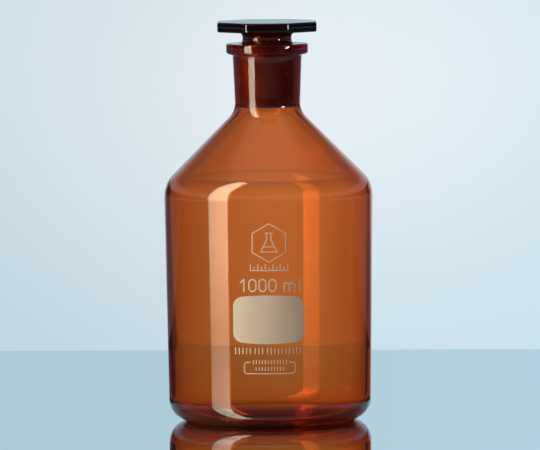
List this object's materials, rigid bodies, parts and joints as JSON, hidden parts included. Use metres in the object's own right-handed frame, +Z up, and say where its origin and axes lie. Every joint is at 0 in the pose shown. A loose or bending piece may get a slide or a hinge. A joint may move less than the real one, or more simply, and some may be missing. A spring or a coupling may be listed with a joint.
{
  "type": "reagent bottle",
  "caption": "Narrow-neck laboratory reagent bottle in amber glass with a ground-in octagonal flat-head glass stopper and enamel capacity mark.",
  "frame": {"origin": "on the bottle's axis, in the plane that its foot stands on", "axes": "+Z up along the axis, -Y towards the side with the enamel marks, +X to the right when facing the marks"},
  "size_m": [0.1074, 0.1074, 0.2055],
  "materials": {
    "amber_glass": "clear gloss, ground where the stopper meets the neck",
    "enamel": "fired-on matt"
  },
  "bodies": {
    "bottle": {"bottle": "amber_glass", "writing_field": "enamel", "capacity_marking": "enamel", "flask_symbol": "enamel", "symbol_scale": "enamel", "tally_line": "enamel", "code_frame": "enamel"},
    "stopper": {"stopper": "amber_glass"}
  },
  "joints": [
    {"name": "stopper_lift", "type": "slide", "parent": "bottle", "child": "stopper", "axis": [0, 0, 1], "range_m": [0, 0.06]}
  ]
}
